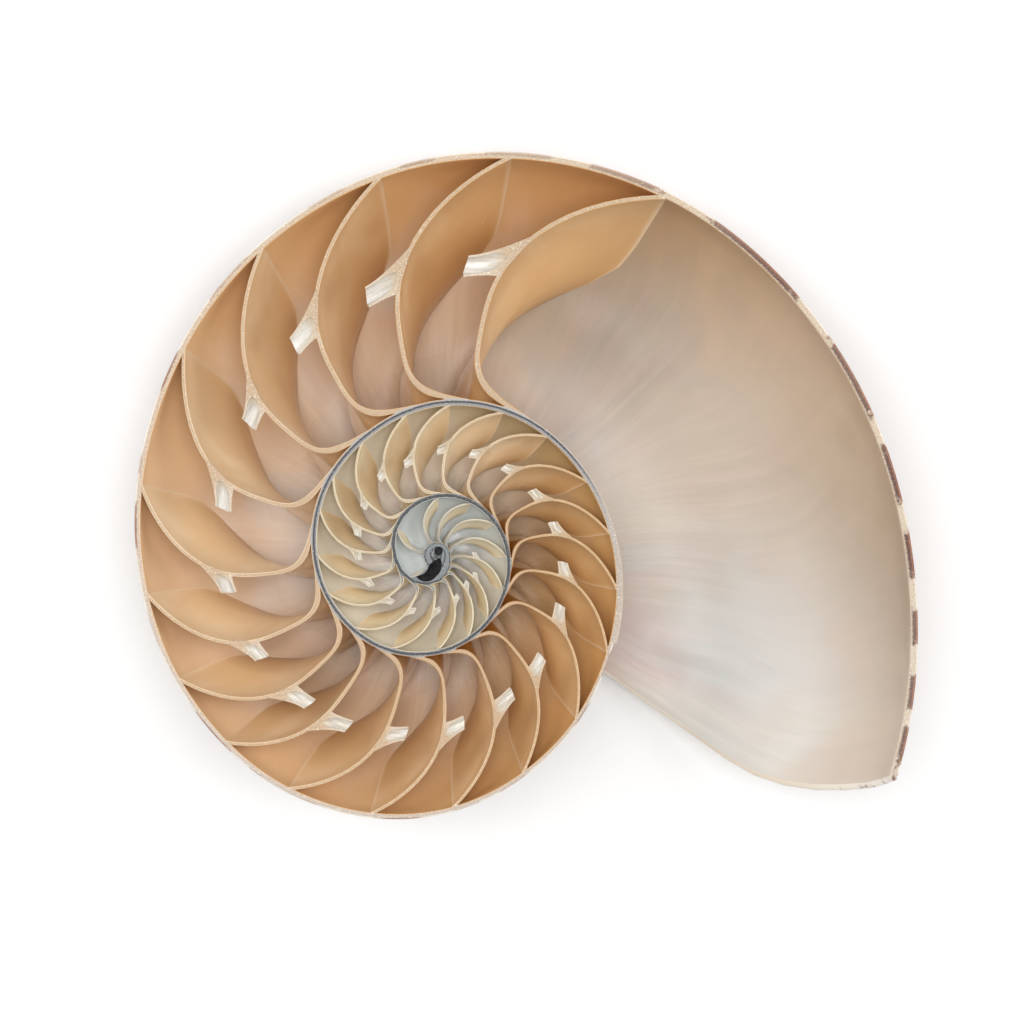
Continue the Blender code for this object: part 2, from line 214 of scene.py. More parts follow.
# Stage: what the camera sees of the saw cut, and the lamps' place, size and power
VIEW_CENTRE = (14.35, 8.42)
VIEW_WIDTH = 195.9
LENS = 200.0
SENSOR = 36.0
CLIP_START = 0.01
FLOOR_SIZE = 8.0
FLOOR_COLOUR = (0.9, 0.9, 0.9, 1.0)
WORLD_COLOUR = (1.0, 1.0, 1.0, 1.0)
WORLD_STRENGTH = 0.6
LAMPS = (
    ("front lamp", (-0.13, 0.25, 1.75), 1.1, 15.0),
    ("left lamp", (-1.3, 0.7, 1.1), 0.9, 9.0),
    ("right lamp", (1.3, 0.3, 1.1), 0.9, 9.0),
)

# Finishes by the number of their slot on the shell
OUTSIDE, WALL, LIVING, SEPTUM_FRONT, SEPTUM_BACK, SAWN, NECK, POCKET = range(8)
FINISH_NAMES = (
    "outer shell", "chamber wall nacre", "living chamber nacre", "septum front nacre", "septum back nacre",
    "sawn edge", "neck pearl", "pocket painted shadow",
)


# Form of the coil

def smooth(value):
    """Ease from 0 to 1."""
    value = np.clip(value, 0.0, 1.0)
    return value * value * (3.0 - 2.0 * value)


def curve_between(start, end, near, far, part):
    """Smooth curve from start to end, with the slopes near and far at its two ends."""
    rise = end - start
    bend = 3.0 * rise - 2.0 * near - far
    return start + near * part + bend * part ** 2 + (near + far - 2.0 * rise) * part ** 3


def coil_radius(growth):
    """Outer radius of the coil in the saw cut."""
    logs = np.log(WALL_RADII)
    last = len(logs) - 1
    place = np.clip((np.asarray(growth, float) - RADII_START) / RADII_STEP, 0.0, last - 0.001)
    index = place.astype(int)
    part = place - index
    before, start, end, after = (logs[np.clip(index + step, 0, last)] for step in (-1, 0, 1, 2))
    bend = 2.0 * before - 5.0 * start + 4.0 * end - after
    turn = 3.0 * start - before - 3.0 * end + after
    return np.exp(start + 0.5 * ((end - before) * part + bend * part ** 2 + turn * part ** 3))


def outline_share(section):
    """Share of the coil's radius that the outline has at a section angle."""
    angles, shares = np.array(SECTION_OUTLINE).T
    slopes = np.zeros(len(angles))
    slopes[1:-1] = (shares[2:] - shares[:-2]) / (angles[2:] - angles[:-2])
    slopes[-1] = (shares[-1] - shares[-2]) / (angles[-1] - angles[-2])
    section = np.asarray(section, float)
    index = np.clip(np.searchsorted(angles, section, side="right") - 1, 0, len(angles) - 2)
    width = angles[index + 1] - angles[index]
    part = (section - angles[index]) / width
    near, far = width * slopes[index], width * slopes[index + 1]
    return curve_between(shares[index], shares[index + 1], near, far, part)


def outline_spread(section):
    """How much longer a cut along the ray is than one square to the wall."""
    low = np.maximum(0.0, np.asarray(section, float) - SPREAD_STEP)
    high = np.asarray(section, float) + SPREAD_STEP
    change = (outline_share(high) - outline_share(low)) / np.radians(high - low)
    return np.hypot(1.0, change / outline_share(section))


def flank_thinning(section):
    return 1.0 - FLANK_THINNING * smooth(np.asarray(section, float) / FLANK_SECTION)


def lip_angle(section):
    """Growth angle of the mouth's lip."""
    return LIP_ANGLE - LIP_REACH * smooth(np.asarray(section, float) / LIP_TURN)


def cone_points(growth, section, radius):
    """Points at a growth angle, a section angle and a distance from the coil's centre."""
    growth, section, radius = np.broadcast_arrays(growth, section, radius)
    across = radius * np.cos(np.radians(section))
    turn = np.radians(growth)
    depth = radius * np.sin(np.radians(section))
    return np.stack((across * np.cos(turn), across * np.sin(turn), -depth), axis=-1)


def drawn_to_navel(points, section):
    """Points near the axis drawn in to the one depth of the navel."""
    pull = smooth((np.asarray(section, float) - NAVEL_START) / (90.0 - NAVEL_START))
    points[..., 2] += pull * (-NAVEL_DEPTH - points[..., 2])
    return points


def outside_points(growth, section):
    points = cone_points(growth, section, coil_radius(growth) * outline_share(section))
    return drawn_to_navel(points, section)


def chamber_radius(growth, section, share):
    """Distance from the coil's centre, from the inner wall (0) to the outer (1)."""
    spread = outline_spread(section)
    shape = outline_share(section)
    inside = coil_radius(growth + WHORL)
    inner = inside * shape + (LINING_BASE + LINING_SHARE * inside) * spread
    wall = flank_thinning(section) * (WALL_BASE + WALL_SHARE * coil_radius(growth))
    outer = coil_radius(growth) * shape - wall * spread
    return inner ** (1.0 - share) * outer ** share


def chamber_points(growth, section, share):
    return cone_points(growth, section, chamber_radius(growth, section, share))


def septum_bow(share, section):
    """Backward bow of a septum, as a share of its full bow."""
    beyond = np.maximum(0.0, (share - BOW_CREST) / (1.0 - BOW_CREST))
    within = np.maximum(0.0, (BOW_CREST - share) / BOW_CREST)
    across = np.where(
        share >= BOW_CREST, 1.0 - beyond ** BOW_OUTER_POWER, np.sqrt(1.0 - within ** BOW_INNER_POWER)
    )
    fade = BOW_LEFT + (1.0 - BOW_LEFT) * np.cos(np.pi / 2.0 * np.minimum(section / BOW_FADED, 1.0)) ** 2
    swing = OUTER_SWING * smooth((section - OUTER_SWING_START) / OUTER_SWING_RUN)
    swing -= OUTER_RETURN * np.maximum(0.0, (section - OUTER_RETURN_START) / OUTER_RETURN_RUN) ** 2
    inner_swing = INNER_SWING * smooth(section / BOW_FADED)
    return across * fade + share * swing + (1.0 - share) * inner_swing


def septum_growth(number, share, section, side):
    """Growth angle of a septum's front, middle or back surface."""
    share, section = np.broadcast_arrays(np.asarray(share, float), np.asarray(section, float))
    angle, bow = SEPTA[number]
    thickness = flank_thinning(section) * (SEPTUM_BASE + SEPTUM_SHARE * coil_radius(angle))
    gap = chamber_radius(angle, section, 1.0) - chamber_radius(angle, section, 0.0)
    foot = 0.5 * thickness / gap * np.maximum(0.0, 1.0 - share / BOW_CREST)
    place = np.clip(share + side * foot, 0.0, 1.0)
    growth = angle + bow * septum_bow(place, section)
    low = np.maximum(0.0, place - SLANT_STEP)
    high = np.minimum(1.0, place + SLANT_STEP)
    turned = np.radians(bow * (septum_bow(high, section) - septum_bow(low, section)))
    radius = chamber_radius(growth, section, place)
    climbed = chamber_radius(growth, section, high) - chamber_radius(growth, section, low)
    slant = np.minimum(SLANT_LIMIT, np.hypot(1.0, turned * radius / climbed))
    turn = np.degrees(0.5 * thickness * slant / (radius * np.cos(np.radians(section))))
    return growth + side * np.minimum(turn, SEPTUM_TURN_LIMIT)


def septum_shares(count):
    """Places across a septum, closer together at its two ends."""
    even = np.linspace(0.0, 1.0, count + 1)
    return EVEN_SPACING * even + (1.0 - EVEN_SPACING) * (0.5 - 0.5 * np.cos(np.pi * even))


def mixed(start, end, part):
    return start + (end - start) * part


# Bending grids onto the coil

def bent_grid(name, points, finishes):
    """A grid of rows and columns whose vertices are moved to the points given for them."""
    rows, columns = points.shape[:2]
    bpy.ops.mesh.primitive_grid_add(x_subdivisions=columns - 1, y_subdivisions=rows - 1)
    sheet = bpy.context.active_object
    sheet.name = name
    flat = np.empty(len(sheet.data.vertices) * 3)
    sheet.data.vertices.foreach_get("co", flat)
    flat = flat.reshape(-1, 3) * 0.5 + 0.5
    column = np.rint(flat[:, 0] * (columns - 1)).astype(int)
    row = np.rint(flat[:, 1] * (rows - 1)).astype(int)
    sheet.data.vertices.foreach_set("co", points[row, column].ravel())
    corner = np.array([min(column[index] for index in face.vertices) for face in sheet.data.polygons])
    finish = np.broadcast_to(finishes, columns - 1)
    for finish_name in FINISH_NAMES:
        sheet.data.materials.append(bpy.data.materials[finish_name])
    sheet.data.polygons.foreach_set("material_index", finish[corner].astype(np.int32))
    return sheet


def right_of(outline, closed):
    """Direction in the saw cut to the right of an outline's run."""
    flat = outline[:, :2]
    if closed:
        ring = flat[:-1]
        run = np.roll(ring, -1, axis=0) - np.roll(ring, 1, axis=0)
        run = np.vstack((run, run[:1]))
    else:
        run = np.gradient(flat, axis=0)
    run = run / np.linalg.norm(run, axis=1, keepdims=True)
    return np.column_stack((run[:, 1], -run[:, 0], np.zeros(len(run))))


def rounded_rows(outline, into_shell, size):
    """Rows from above the saw cut down round its edge, from an outline in the cut."""
    rows = [outline + into_shell * size + (0.0, 0.0, SAW_ALLOWANCE)]
    for height, out in ROUNDING_STEPS:
        row = outline + into_shell * size * out
        row[:, 2] += height * size[:, 0]
        rows.append(row)
    return rows


def hollow_rows(ring_at, closed, sections=ROW_SECTIONS):
    """Side wall of a hollow through its rings, with rounded sawn edges."""
    outline = ring_at(0.0)
    distance = np.linalg.norm(outline, axis=1, keepdims=True)
    size = np.minimum(ROUNDING_LIMIT, ROUNDING_SHARE * distance)
    rows = rounded_rows(outline, right_of(outline, closed), size)
    return np.array(rows + [ring_at(section) for section in sections])


def ring_of(floor):
    """Edge of a floor grid: up its first side, over, down its last side and back."""
    return np.concatenate((floor[:, 0], floor[-1, 1:], floor[-2::-1, -1], floor[0, -2::-1]))


def make_chamber(number):
    """Closed chamber behind a septum: its side wall and its floor."""
    across, along = LARGE_GRID if number < LARGE_CHAMBERS else SMALL_GRID
    shares = septum_shares(across)
    steps = np.linspace(0.0, 1.0, along + 1)

    def floor_at(section):
        back = septum_growth(number, shares, section, BACK)
        front = septum_growth(number + 1, shares, section, FRONT)
        growth = mixed(back[:, None], front[:, None], steps[None, :])
        return chamber_points(growth, section, shares[:, None])

    finishes = [SEPTUM_BACK] * across + [WALL] * along + [SEPTUM_FRONT] * across + [WALL] * along
    side = hollow_rows(lambda section: ring_of(floor_at(section)), True)
    return [
        bent_grid(f"chamber {number + 1} side", side, finishes),
        bent_grid(f"chamber {number + 1} floor", floor_at(ROW_SECTIONS[-1]), WALL),
    ]


def living_floor(section):
    """Living chamber at one section angle, from the inner wall out and the lip in."""
    shares = septum_shares(LARGE_GRID[0])[:, None]
    septum = septum_growth(0, shares, section, FRONT)
    steps = np.linspace(0.0, 1.0, LIVING_COLUMNS + 1)[None, :]
    return chamber_points(mixed(lip_angle(section), septum, steps), section, shares)


def living_ring(section):
    """Sides of the living chamber from the lip in to the last septum and back out."""
    floor = living_floor(section)
    return np.concatenate((floor[-1], floor[-2::-1, -1], floor[0, -2::-1]))


def make_living_chamber():
    finishes = [LIVING] * LIVING_COLUMNS + [SEPTUM_FRONT] * LARGE_GRID[0] + [LIVING] * LIVING_COLUMNS
    return [
        bent_grid("living chamber side", hollow_rows(living_ring, False), finishes),
        bent_grid("living chamber floor", living_floor(ROW_SECTIONS[-1]), LIVING),
    ]


def outside_rows():
    """Outside of the last whorl, from the lip once round to the step below it."""
    steps = np.linspace(0.0, 1.0, OUTSIDE_COLUMNS + 1)
    outline = outside_points(lip_angle(0.0) + WHORL * steps, 0.0)
    size = np.full((len(outline), 1), RIM_ROUNDING)
    rows = rounded_rows(outline, -right_of(outline, False), size)
    for section in ROW_SECTIONS + NAVEL_SECTIONS:
        rows.append(outside_points(lip_angle(section) + WHORL * steps, section))
    return np.array(rows)


def rounded_lip(first, last):
    """Edge of a wall at the mouth, from one face of it over to the other."""
    part = np.linspace(0.0, 1.0, LIP_COLUMNS + 1)[None, :, None]
    flat = mixed(first[:, None], last[:, None], part)
    thickness = np.linalg.norm(last - first, axis=1)[:, None, None]
    forward = np.stack((flat[..., 1], -flat[..., 0], np.zeros(flat.shape[:2])), axis=-1)
    forward /= np.linalg.norm(flat[..., :2], axis=-1, keepdims=True)
    return flat + forward * thickness * LIP_BULGE * np.sqrt(np.clip(part * (1.0 - part), 0.0, 1.0))


def make_mouth(outside):
    """Edges of the mouth, and the closed part between it and the axis."""
    living = hollow_rows(living_ring, False)
    count = len(living)
    lip = rounded_lip(outside[:count, 0], living[:, 0])
    lining = rounded_lip(living[:, -1], outside[:count, -1])
    top = np.concatenate((lip[-1], living_floor(ROW_SECTIONS[-1])[-2:0:-1, 0], lining[-1]))
    distance = np.linalg.norm(top, axis=1)
    part = np.log(distance / distance[0]) / np.log(distance[-1] / distance[0])
    bulge = top - cone_points(lip_angle(ROW_SECTIONS[-1]), ROW_SECTIONS[-1], distance)
    rows = [top]
    for step, section in enumerate(NAVEL_SECTIONS, 1):
        growth = lip_angle(section)
        outer = coil_radius(growth) * outline_share(section)
        inner = coil_radius(growth + WHORL) * outline_share(section)
        row = cone_points(growth, section, outer * (inner / outer) ** part)
        fade = 1.0 - step / len(NAVEL_SECTIONS)
        rows.append(drawn_to_navel(row, section) + bulge * fade ** 2)
    return [
        bent_grid("lip", lip, OUTSIDE),
        bent_grid("lining edge", lining, LIVING),
        bent_grid("mouth floor", np.array(rows), LIVING),
    ]


def make_pocket():
    """Curved pocket of the oldest chamber, narrowing towards the coil's centre, near black inside with
    painted shadow.
    """
    sides = [refined(np.array(side)) for side in POCKET_SIDES]
    steps = np.linspace(0.0, 1.0, SMALL_GRID[1] + 1)[None, :, None]
    flat = mixed(sides[0][:, None], sides[1][:, None], steps)

    def floor_at(section):
        growth = np.degrees(np.arctan2(flat[..., 1], flat[..., 0]))
        return cone_points(growth, section, np.linalg.norm(flat, axis=-1) * outline_share(section))

    side = hollow_rows(lambda section: ring_of(floor_at(section)), True, POCKET_SECTIONS)
    floor = floor_at(POCKET_SECTIONS[-1])
    return [bent_grid("pocket side", side, POCKET), bent_grid("pocket floor", floor, POCKET)]


def refined(points):
    """A line of points with two more put between each pair, on a smooth curve."""
    place = np.linspace(0.0, len(points) - 1.0, 3 * (len(points) - 1) + 1)
    index = np.minimum(place.astype(int), len(points) - 2)
    part = (place - index)[:, None]
    slopes = np.gradient(points, axis=0)
    return curve_between(points[index], points[index + 1], slopes[index], slopes[index + 1], part)


def make_cord_hole():
    """Round hole that the cord started from, near black inside with painted shadow."""
    turn = np.linspace(0.0, 2.0 * math.pi, NECK_SIDES + 1)
    circle = np.column_stack((np.cos(turn), np.sin(turn), np.zeros(len(turn))))
    centre = np.array((*CORD_HOLE, 0.0))
    outline = centre + CORD_HOLE_RADIUS * circle
    size = np.full((len(outline), 1), CORD_HOLE_ROUNDING)
    rows = rounded_rows(outline, right_of(outline, True), size)
    for depth, width in CORD_HOLE_FORM:
        rows.append(centre + CORD_HOLE_RADIUS * width * circle - (0.0, 0.0, depth * CORD_HOLE_DEPTH))
    return [bent_grid("cord hole", np.array(rows), POCKET)]


# Necks

def neck_line(number):
    """Root, direction, length and radius of the neck on one septum."""
    share = NECK_ROOTS[number]
    growth = septum_growth(number, share, 0.0, MIDDLE)
    root = chamber_points(growth, 0.0, share)
    length = NECK_LENGTHS[number] * coil_radius(growth)
    tip = chamber_points(growth + math.degrees(length / np.linalg.norm(root)), 0.0, share + NECK_LEAN)
    radius = NECK_RADIUS_BASE + NECK_RADIUS_SHARE * coil_radius(SEPTA[number][0])
    return root, (tip - root) / np.linalg.norm(tip - root), length, radius


def neck_rings(number, inset, flare, run, closing=0.0):
    """Rings of a neck's tube, spread at its root to lie on the septum, with a slanted tip."""
    share = NECK_ROOTS[number]
    growth = septum_growth(number, share, 0.0, MIDDLE)
    root, along, length, radius = neck_line(number)
    distance = np.linalg.norm(root)
    out = np.array((along[1], -along[0], 0.0))
    slant = NECK_SLANT * radius
    radius -= inset

    turn = 2.0 * math.pi * (np.arange(NECK_SIDES + 1) + 0.5) / NECK_SIDES
    side, up = np.cos(turn), np.sin(turn)
    tube = root + radius * (side[:, None] * out + up[:, None] * np.array((0.0, 0.0, 1.0)))
    spread = radius * mixed(*flare, smooth(0.5 + 0.5 * side))
    gap = math.log(chamber_radius(growth, 0.0, 1.0) / chamber_radius(growth, 0.0, 0.0))
    place = share + np.log(1.0 + spread * side / distance) / gap
    section = np.degrees(np.arcsin(spread * np.abs(up) / distance))
    flared = chamber_points(septum_growth(number, place, section, MIDDLE), section, place)
    flared[:, 2] *= -np.sign(up)
    corner = NECK_CORNER * radius * np.maximum(0.0, -side - NECK_CORNER_START) ** 2
    reach = along * (length - slant * side - corner)[:, None]
    rings = []
    for part in np.linspace(*run, NECK_STEPS + 1):
        ring = tube + reach * part + (flared - tube) * max(0.0, 1.0 - part) ** FLARE_POWER
        if closing:
            middle = ring[:-1].mean(axis=0)
            ring = middle + (ring - middle) * math.sqrt(min(1.0, (part - run[0]) / closing))
        rings.append(ring)
    caps = [np.broadcast_to(ring[:-1].mean(axis=0), ring.shape) for ring in (rings[0], rings[-1])]
    return np.array([caps[0]] + rings + [caps[1]])


def make_necks():
    """Outer form of the necks, and their bores, as two sets of closed tubes."""
    tubes, bores = [], []
    for number in range(NECK_COUNT):
        wall = NECK_WALL_BASE + NECK_WALL_SHARE * coil_radius(SEPTA[number][0])
        tubes.append(bent_grid(f"neck {number + 1}", neck_rings(number, 0.0, NECK_FLARE, NECK_RUN), NECK))
        bore = neck_rings(number, wall, BORE_FLARE, BORE_RUN, BORE_CLOSING)
        bores.append(bent_grid(f"bore {number + 1}", bore, NECK))
    return stitched(tubes, "necks"), stitched(bores, "neck bores")


# Putting the shell together

def only(thing):
    """Select one object alone and make it the active one."""
    bpy.ops.object.select_all(action="DESELECT")
    thing.select_set(True)
    bpy.context.view_layer.objects.active = thing


def stitched(sheets, name):
    """Join sheets whose edges meet, merge those edges and turn the faces outwards."""
    only(sheets[0])
    for sheet in sheets:
        sheet.select_set(True)
    bpy.ops.object.join()
    whole = bpy.context.active_object
    whole.name = name
    bpy.ops.object.mode_set(mode="EDIT")
    bpy.ops.mesh.select_all(action="SELECT")
    bpy.ops.mesh.remove_doubles(threshold=WELD)
    turn_faces_out()
    return whole


def turn_faces_out():
    """Turn the faces of the mesh in edit mode outwards and leave that mode."""
    bpy.ops.mesh.select_all(action="SELECT")
    bpy.ops.mesh.normals_make_consistent(inside=False)
    bpy.ops.object.mode_set(mode="OBJECT")


def fill_open_edge():
    """Close the open edge of the mesh in edit mode, leaving its hollows open."""
    bpy.ops.mesh.select_all(action="DESELECT")
    bpy.ops.mesh.select_mode(type="EDGE")
    bpy.ops.mesh.select_non_manifold(
        extend=False, use_wire=False, use_multi_face=False, use_non_contiguous=False, use_verts=False
    )
    bpy.ops.mesh.fill(use_beauty=True)


def combine(whole, other, operation):
    """Join or cut one closed mesh with another."""
    only(whole)
    change = whole.modifiers.new(other.name, "BOOLEAN")
    change.operation = operation
    change.solver = "EXACT"
    change.object = other
    bpy.ops.object.modifier_apply(modifier=change.name)
    bpy.data.objects.remove(other)


def make_shell():
    """The half shell on the coil, with the saw cut at height zero, as one closed mesh."""
    bpy.ops.object.select_all(action="DESELECT")
    outside = outside_rows()
    sheets = [bent_grid("outside", outside, OUTSIDE)]
    sheets += make_mouth(outside) + make_living_chamber() + make_pocket() + make_cord_hole()
    for number in range(len(SEPTA) - 1):
        sheets += make_chamber(number)
    shell = stitched(sheets, "nautilus_half")
    only(shell)
    bpy.ops.object.mode_set(mode="EDIT")
    fill_open_edge()
    turn_faces_out()

    tubes, bores = make_necks()
    combine(shell, tubes, "UNION")
    combine(shell, bores, "DIFFERENCE")
    saw_in_half(shell)
    return shell


def saw_in_half(shell):
    """Take away what stands above the saw cut and close the cut face."""
    only(shell)
    bpy.ops.object.mode_set(mode="EDIT")
    bpy.ops.mesh.select_all(action="SELECT")
    bpy.ops.mesh.bisect(plane_co=(0, 0, 0), plane_no=(0, 0, 1), clear_outer=True, threshold=FINE)
    fill_open_edge()
    bpy.context.object.active_material_index = SAWN
    bpy.ops.object.material_slot_assign()
    turn_faces_out()


def resting_place():
    """Place of the coil's centre, leaning as the shell does on its flank."""
    line = (math.cos(math.radians(LEAN_LINE)), math.sin(math.radians(LEAN_LINE)), 0.0)
    return Matrix.Translation(Vector(COIL_CENTRE) * MM) @ Matrix.Rotation(math.radians(LEAN), 4, line)


def lay_down(shell):
    """Lay the shell on its flank, where the solid lies, with its place in its mesh."""
    drawn_in = Matrix.Diagonal((*DRAW_IN, 1.0))
    shell.data.transform(resting_place() @ Matrix.Scale(MM, 4) @ drawn_in)
    only(shell)
    bpy.ops.object.shade_smooth_by_angle(angle=SHARP_ANGLE)


# Measures over the surface that the finishes read

def measure_surface(shell):
    """Keep on each vertex where it is on the coil, before the shell is laid down."""
    mesh = shell.data
    flat = np.empty(len(mesh.vertices) * 3)
    mesh.vertices.foreach_get("co", flat)
    place = flat.reshape(-1, 3)
    across = np.hypot(place[:, 0], place[:, 1])
    section = np.degrees(np.arctan2(np.maximum(0.0, -place[:, 2]), across))
    radius = np.linalg.norm(place, axis=1) / outline_share(np.minimum(section, 90.0))
    angle = np.degrees(np.arctan2(place[:, 1], place[:, 0]))
    growth = np.full(len(place), np.nan)
    for turns in (3, 2, 1, 0):
        candidate = angle + WHORL * turns
        inside = np.isnan(growth) & (coil_radius(candidate) * ON_WHORL >= radius)
        inside &= candidate > lip_angle(section) - LIP_ZONE
        inside &= radius > coil_radius(candidate + WHORL)
        growth[inside] = candidate[inside]
    growth[np.isnan(growth)] = (angle + WHORL)[np.isnan(growth)]
    outer = np.log(coil_radius(growth))
    inner = np.log(coil_radius(growth + WHORL))
    depth = (outer - np.log(np.maximum(radius, SMALLEST))) / (outer - inner)
    store(mesh, "growth", growth / WHORL)
    store(mesh, "spiral", growth / WHORL + depth)
    outer = np.log(chamber_radius(growth, section, 1.0))
    inner = np.log(chamber_radius(growth, section, 0.0))
    distance = np.maximum(np.linalg.norm(place, axis=1), SMALLEST)
    store(mesh, "across", (np.log(distance) - inner) / (outer - inner))
    store(mesh, "section", section / 90.0)
    stripes = np.array(STRIPES)
    ends = stripes[:, :2].ravel()
    store(mesh, "stripe", np.interp(growth, ends, 0.5 * np.arange(len(ends))))
    store(mesh, "rust", np.interp(growth, stripes[:, :2].mean(axis=1), stripes[:, 2]))
    store(mesh, "neck", neck_closeness(place))
    spot_layer = mesh.attributes.new("coil", "FLOAT_VECTOR", "POINT")
    spot_layer.data.foreach_set("vector", place.astype(np.float32).ravel())


def neck_closeness(place):
    """1 on a neck beyond its septum, 0 away from it."""
    closeness = np.zeros(len(place))
    for number in range(NECK_COUNT):
        root, along, length, radius = neck_line(number)
        offset = place - root
        forward = offset @ along
        aside = np.linalg.norm(offset - forward[:, None] * along, axis=1)
        near, far = NECK_ZONE
        on_neck = (forward > near * length) & (forward < far * length) & (aside < NECK_ZONE_WIDTH * radius)
        closeness[on_neck] = np.clip(NECK_ZONE_RISE * forward[on_neck] / length, 0.0, 1.0)
    return closeness


def store(mesh, name, values):
    layer = mesh.attributes.new(name, "FLOAT", "POINT")
    layer.data.foreach_set("value", values.astype(np.float32))


# Finishes: small steps that build a material's nodes

def feed(tree, socket, value):
    """Link a socket to another, or set its number or colour."""
    if isinstance(value, bpy.types.NodeSocket):
        tree.links.new(value, socket)
    elif isinstance(value, tuple) and socket.type == "RGBA":
        socket.default_value = (*value, 1.0)
    else:
        socket.default_value = value


def maths(tree, operation, *values):
    """One step of arithmetic."""
    made = tree.nodes.new("ShaderNodeMath")
    made.operation = operation
    for socket, value in zip(made.inputs, values):
        feed(tree, socket, value)
    return made.outputs[0]


def times(tree, first, second):
    return maths(tree, "MULTIPLY", first, second)


def times_plus(tree, first, second, third):
    return maths(tree, "MULTIPLY_ADD", first, second, third)


def reading(tree, name, output="Fac"):
    """A measure that the shell's surface carries."""
    made = tree.nodes.new("ShaderNodeAttribute")
    made.attribute_name = name
    return made.outputs[output]


def ease(tree, value, start, end, low=0.0, high=1.0):
    """Soft step from low to high while a value goes from start to end."""
    made = tree.nodes.new("ShaderNodeMapRange")
    made.interpolation_type = "SMOOTHSTEP"
    if start > end:
        start, end, low, high = end, start, high, low
    for socket, number in zip(made.inputs, (value, start, end, low, high)):
        feed(tree, socket, number)
    return made.outputs[0]


def blend(tree, share, first, second, kind="MIX"):
    """Mix of two colours."""
    made = tree.nodes.new("ShaderNodeMix")
    made.data_type = "RGBA"
    made.blend_type = kind
    for index, value in ((0, share), (6, first), (7, second)):
        feed(tree, made.inputs[index], value)
    return made.outputs[2]


def tinted(tree, colour, tint):
    return blend(tree, 1.0, colour, tint, "MULTIPLY")


def spot(tree, x, y, z=0.0):
    made = tree.nodes.new("ShaderNodeCombineXYZ")
    for socket, value in zip(made.inputs, (x, y, z)):
        feed(tree, socket, value)
    return made.outputs[0]


def clouds(tree, place, scale, detail=2.0, roughness=0.5, distortion=0.0):
    """Soft random clouds, from about 0.2 to 0.8."""
    made = tree.nodes.new("ShaderNodeTexNoise")
    names = ("Vector", "Scale", "Detail", "Roughness", "Distortion")
    for name, value in zip(names, (place, scale, detail, roughness, distortion)):
        feed(tree, made.inputs[name], value)
    return made.outputs["Fac"]


def coil_clouds(tree, *form):
    """Clouds that fill the space round the coil."""
    return clouds(tree, reading(tree, "coil", "Vector"), *form)


def colour_by(tree, value, stops):
    """Colour that changes with a value, from stops: a place and its red, green and blue."""
    made = tree.nodes.new("ShaderNodeValToRGB")
    first, last = stops[0][0], stops[-1][0]
    place = maths(tree, "DIVIDE", maths(tree, "SUBTRACT", value, first), last - first)
    feed(tree, made.inputs[0], place)
    ramp = made.color_ramp
    ramp.interpolation = "CARDINAL"
    while len(ramp.elements) < len(stops):
        ramp.elements.new(1.0)
    for element, (place, *colour) in zip(ramp.elements, stops):
        element.position = (place - first) / (last - first)
        element.color = (*colour, 1.0)
    return made.outputs["Color"]


def new_effect(name, inputs, outputs):
    """Empty node group with named inputs and outputs."""
    tree = bpy.data.node_groups.new(name, "ShaderNodeTree")
    for socket_name, kind, value in inputs:
        socket = tree.interface.new_socket(socket_name, in_out="INPUT", socket_type="NodeSocket" + kind)
        socket.default_value = (*value, 1.0) if kind == "Color" else value
    for socket_name, kind in outputs:
        tree.interface.new_socket(socket_name, in_out="OUTPUT", socket_type="NodeSocket" + kind)
    return tree, tree.nodes.new("NodeGroupInput").outputs, tree.nodes.new("NodeGroupOutput").inputs


def effect(tree, name, **values):
    """One of the shared effects, placed in a material with its own values."""
    made = tree.nodes.new("ShaderNodeGroup")
    made.node_tree = bpy.data.node_groups[name]
    for key, value in values.items():
        feed(tree, made.inputs[key], value)
    return made.outputs


# Effects that several finishes share

def make_streaks():
    """Streaks that run across the whorl along the lines in which the shell grew."""
    outputs = (("Fine", "Float"), ("Broad", "Float"), ("Cloud", "Float"))
    tree, _, out = new_effect("growth streaks", (), outputs)
    section = times(tree, reading(tree, "section"), 90.0)
    line = maths(tree, "ADD", in_degrees(tree), ease(tree, section, 0.0, LIP_TURN, 0.0, LIP_REACH))
    line = times_plus(tree, coil_clouds(tree, 0.03, 1.0), 9.0, line)
    fine = spot(tree, times(tree, line, 0.42), times(tree, section, 0.045))
    broad = spot(tree, times(tree, line, 0.07), times(tree, section, 0.035), 4.0)
    tree.links.new(clouds(tree, fine, 1.0, 4.0, 0.6), out["Fine"])
    tree.links.new(clouds(tree, broad, 1.0, 2.0, 0.5), out["Broad"])
    tree.links.new(coil_clouds(tree, 0.07, 2.0, 0.45, 0.6), out["Cloud"])


